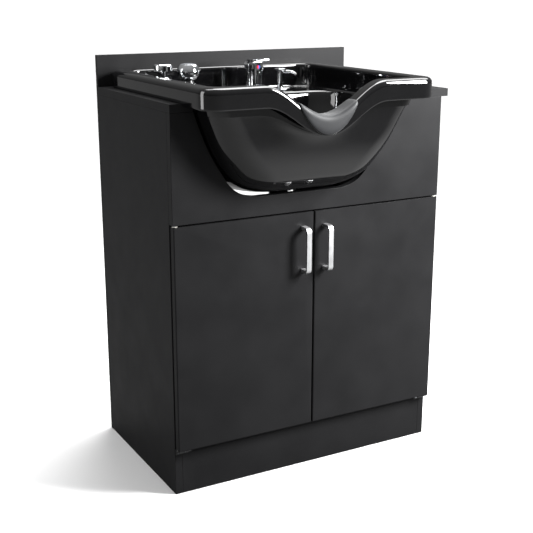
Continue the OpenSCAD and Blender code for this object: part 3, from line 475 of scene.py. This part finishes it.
def restSurface():
    # A saddle over the rim: the seat line across, lifted along its normal by a lens-shaped thickness
    s, lip = restShape["seat"], restShape["lip"]
    x = restShape["half"] * np.sin(np.linspace(-np.pi / 2, np.pi / 2, restShape["alongPoints"]))
    top = restShape["rimTop"] - neckDip(x)
    arch = (1 - np.abs(x / restShape["half"]) ** 2.4) ** 0.8  # lower edge rises to the ends as one arc
    lower = top - restShape["endDrop"] - (restShape["drop"] - restShape["endDrop"]) * arch
    t = np.linspace(0, 1, restShape["acrossPoints"])
    # Seat line up the apron, over the rim and a little way down inside: depth, then height
    depths = [-s, -s, 1.4 - s, 5.5, lip - 4, lip - 0.4 + s, lip + 1 + s]
    heights = [lower, top - 6, top - 1.5 + s, top + s, top + s, top - 1.6 + s, top - 6]
    knots = np.stack([np.stack([np.full_like(x, y), z], -1) for y, z in zip(depths, heights)])
    gaps = np.array([0, .30, .36, .44, .82, .90, 1.0])
    span = np.clip(np.searchsorted(gaps, t, side="right") - 1, 0, len(gaps) - 2)
    share = ((t - gaps[span]) / (gaps[span + 1] - gaps[span]))[:, None, None]
    seatLine = knots[span] + share * (knots[span + 1] - knots[span])
    for _ in range(restShape["smoothings"]):
        seatLine[1:-1] = 0.25 * seatLine[:-2] + 0.5 * seatLine[1:-1] + 0.25 * seatLine[2:]
    along = np.gradient(seatLine, axis=0)
    normal = np.stack([-along[..., 1], along[..., 0]], -1)
    normal /= np.linalg.norm(normal, axis=-1, keepdims=True)
    swell = np.sqrt(np.clip(1 - (2 * t[:, None] - 1) ** 8, 0, 1))
    taper = 1 - 0.35 * (x / restShape["half"]) ** 2
    ends = np.sqrt(np.clip(1 - (x / restShape["half"]) ** 8, 0, 1))
    thick = restShape["thick"] * swell * (taper * ends)[None, :] * 0.97
    outer = seatLine + normal * thick[..., None]
    section = np.concatenate([seatLine, outer[::-1]], 0)
    return np.stack([np.broadcast_to(x, section.shape[:2]), section[..., 0], section[..., 1]], -1)


restPoints = restSurface()
neckRest = meshPiece("neckRestPad", restPoints * mm + bowlPlace,
                     gridFaces(*restPoints.shape[:2], wrapRows=True))
standFor(neckRest, "neck_rest")
print("neck rest made")


fasciaLow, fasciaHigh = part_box("front_fascia")
fasciaShape = {"gap": 3.0, "edge": 1.2, "steps": 12, "risingRows": [3, 4, 5, 6, 7, 8, 9, 10, 13]}
# The cut-out is the bowl's own outline in the fascia's plane, moved out along its normals by the gap
outerSide = softSteps(bowlRows[fasciaShape["risingRows"]], fasciaShape["steps"])
edgeLine = np.stack([bowlShape["halfWidth"] - outerSide[:, 1], outerSide[:, 0]], -1)
slopeLine = np.gradient(edgeLine, axis=0)
outward = np.stack([slopeLine[:, 1], -slopeLine[:, 0]], -1)
outward /= np.linalg.norm(outward, axis=1, keepdims=True)
edgeLine = edgeLine + outward * fasciaShape["gap"]
edgeLine = edgeLine * mm + np.array([0, bowlPlace[2]])
edgeLine = edgeLine[(edgeLine[:, 1] < fasciaHigh.z)]
edgeLine = np.vstack([edgeLine, [edgeLine[-1, 0] + 0.0002, fasciaHigh.z]])
rightCut = edgeLine + np.array([bowlPlace[0], 0])
leftCut = edgeLine[::-1] * np.array([-1, 1]) + np.array([bowlPlace[0], 0])
bottomAndRight = [(fasciaLow.x, fasciaLow.z), (fasciaHigh.x, fasciaLow.z), (fasciaHigh.x, fasciaHigh.z)]
outline = np.vstack([bottomAndRight, rightCut[::-1], leftCut[::-1], [(fasciaLow.x, fasciaHigh.z)]])
count = len(outline)
sheetPoints = np.vstack([np.column_stack([outline[:, 0], np.full(count, y), outline[:, 1]])
                         for y in (fasciaLow.y, fasciaHigh.y)])
ring = np.arange(count)
following = np.roll(ring, -1)
walls = np.stack([ring, following, following + count, ring + count], -1)
sheetFaces = [ring, ring[::-1] + count, *walls]
fascia = meshPiece("bowlFascia", sheetPoints, sheetFaces, 35)
roll = fascia.modifiers.new("rolledEdges", "BEVEL")
roll.width = fasciaShape["edge"] * mm
roll.segments = 3
roll.limit_method = "ANGLE"
roll.angle_limit = math.radians(35)
roll.harden_normals = True
standFor(fascia, "front_fascia")

# Boards, each with its node and the width in mm of its rolled edges
boardEdges = {
    "leftSidePanel": ("left_side_panel", 0.8), "rightSidePanel": ("right_side_panel", 0.8),
    "cabinetFloor": ("floor_panel", 0.8), "toeKick": ("toe_kick_board", 0.8),
    "counterTop": ("countertop", 1.4), "splashBack": ("back_panel", 1.0),
    "frontRail": ("front_rail", 0.8), "rearRail": ("rear_rail", 0.8),
    "leftDoor": ("left_door", 0.5), "rightDoor": ("right_door", 0.5),
}
for name, (node, width) in boardEdges.items():
    softened(name, node, width)
print("boards made")

fittingEdges = {
    "mixerBody": ("mixer_body", 0.8), "mixerCap": ("mixer_turret", 1.2),
    "mixerLever": ("mixer_lever", 0.9), "breakerBody": ("breaker_body", 0.7),
    "breakerCap": ("breaker_cap", 1.0), "hoseGuide": ("hose_guide", 0.7),
    "sprayBell": ("spray_bell", 0.5), "soapCollar": ("soap_collar", 0.6), "pumpHead": ("pump_head", 0.7),
    "drainFlange": ("drain_flange", 0.6), "leftHandle": ("left_handle", 1.2),
    "rightHandle": ("right_handle", 1.2),
}
for name, (node, width) in fittingEdges.items():
    softened(name, node, width)
print("fittings made")
